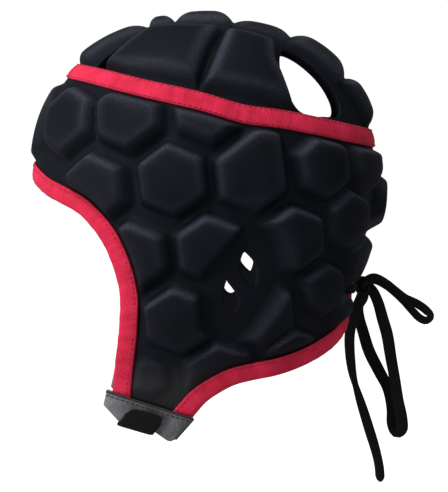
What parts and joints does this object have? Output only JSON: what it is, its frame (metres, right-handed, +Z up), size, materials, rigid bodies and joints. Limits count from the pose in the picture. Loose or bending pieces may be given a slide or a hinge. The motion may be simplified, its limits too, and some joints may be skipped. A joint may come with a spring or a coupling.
{
  "type": "head guard",
  "caption": "Padded head guard of the scrum-cap kind: black foam hexagon pads, vented crown, red tape and bindings, grey chin patches, chin strap and a lace tied at the nape.",
  "frame": {"origin": "inside of the crown, where it sits on the top of the head", "axes": "+Z up, -Y towards the face, +Y towards the nape, +X towards the wearer's left"},
  "size_m": [0.1774, 0.2437, 0.2873],
  "materials": {
    "knit_foam": "matt black knit moulded over foam",
    "red_tape": "crimson woven tape",
    "grey_leather": "grey synthetic leather, fine grain",
    "black_webbing": "black brushed webbing",
    "black_lace": "black flat woven lace"
  },
  "bodies": {
    "root": {"body_panel": "knit_foam", "crown_panel": "knit_foam", "crown_tape": "red_tape", "face_binding": "red_tape", "neck_binding": "red_tape", "chin_patch_left": "grey_leather", "chin_patch_right": "grey_leather", "chin_strap": "black_webbing", "lace_bridge": "black_lace", "lace_knot": "black_lace", "lace_loop_side": "black_lace", "lace_loop_low": "black_lace", "lace_end_left": "black_lace", "lace_end_right": "black_lace"}
  },
  "joints": []
}
